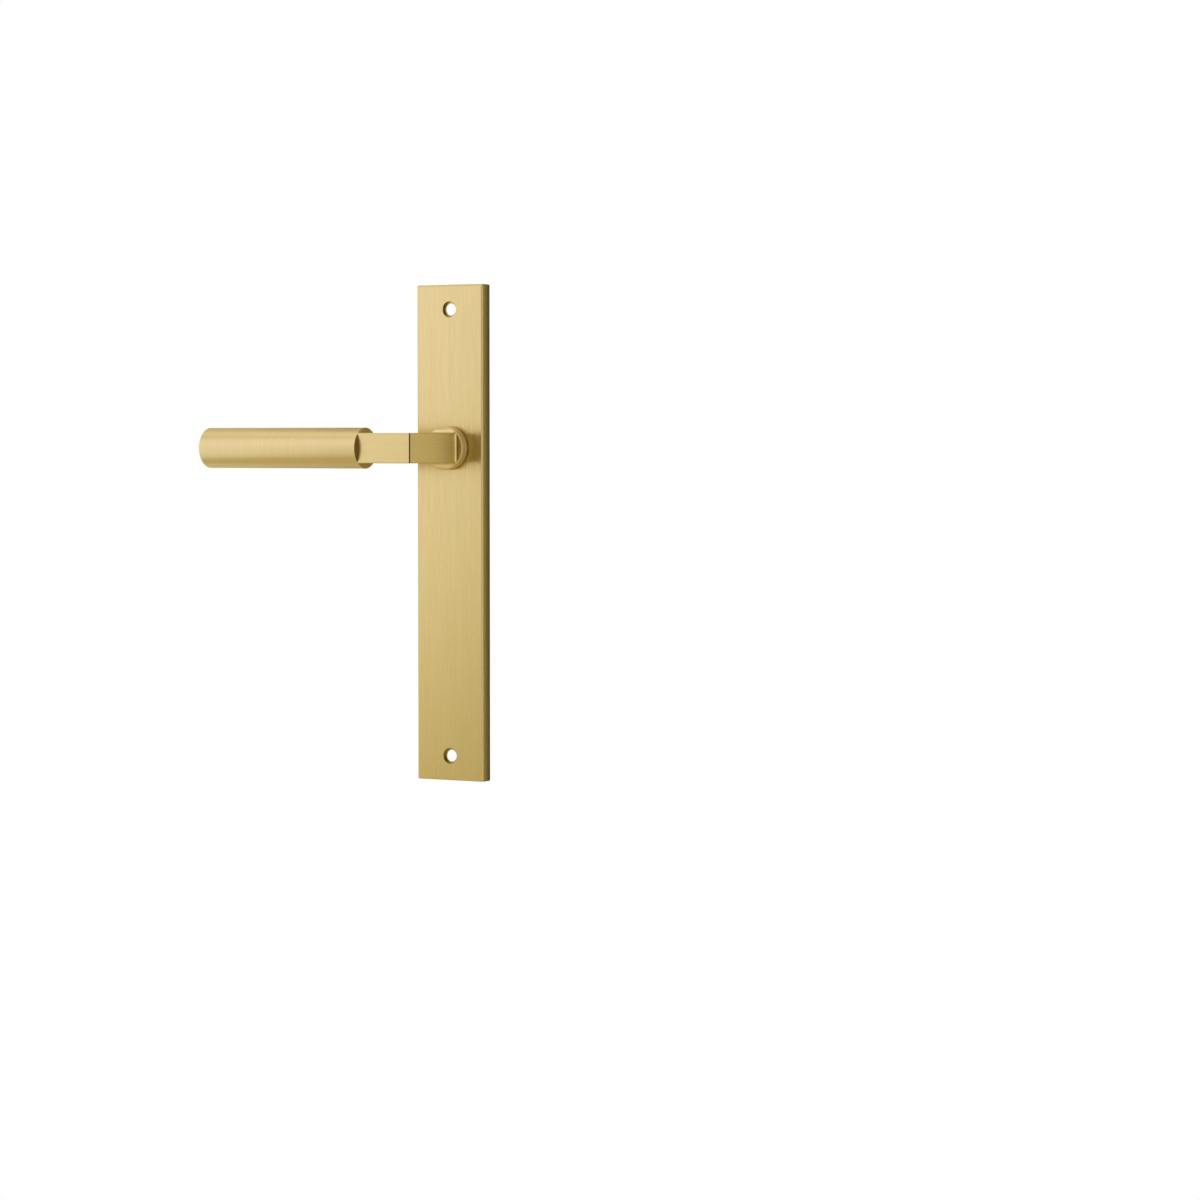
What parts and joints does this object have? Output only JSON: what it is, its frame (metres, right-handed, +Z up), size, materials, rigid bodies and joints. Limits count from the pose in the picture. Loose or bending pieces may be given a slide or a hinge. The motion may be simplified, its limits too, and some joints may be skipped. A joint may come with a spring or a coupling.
{
  "type": "door lever on backplate",
  "caption": "Sprung door lever with a round grip and a mitred neck with flat sides, on a long hollow-backed brass plate with counterbored screw holes and a square half spindle behind.",
  "frame": {"origin": "on the lever's turning axis, in the plane of the plate's back, which is the door face", "axes": "+X right, +Z up along the plate, +Y into the door along the spindle; the plate's front faces -Y and the lever points to -X"},
  "size_m": [0.1329, 0.0774, 0.24],
  "materials": {
    "plate_brass": "satin, brushed along the plate",
    "post_brass": "satin, brushed along the post",
    "grip_brass": "satin, brushed round the grip",
    "bush_nylon": "moulded",
    "spring_steel": "oiled wire",
    "zinc_steel": "zinc plated",
    "bright_steel": "ground",
    "black_steel": "black oxide"
  },
  "bodies": {
    "plate": {"backplate": "plate_brass", "neck_bush": "bush_nylon", "return_spring": "spring_steel"},
    "lever": {"lever_post": "post_brass", "lever_grip": "grip_brass", "corner_dowel": "bright_steel", "drive_plate": "zinc_steel", "curved_washer": "spring_steel", "retaining_ring": "black_steel", "spindle": "zinc_steel", "spindle_grub_screw": "black_steel"}
  },
  "joints": [
    {"name": "lever_turn", "type": "hinge", "parent": "plate", "child": "lever", "pos_m": [0, 0, 0], "axis": [0, -1, 0], "range_deg": [0, 50], "stiffness_Nm_per_rad": 0.67, "springref_deg": -25.78, "deforming": ["return_spring"]}
  ]
}
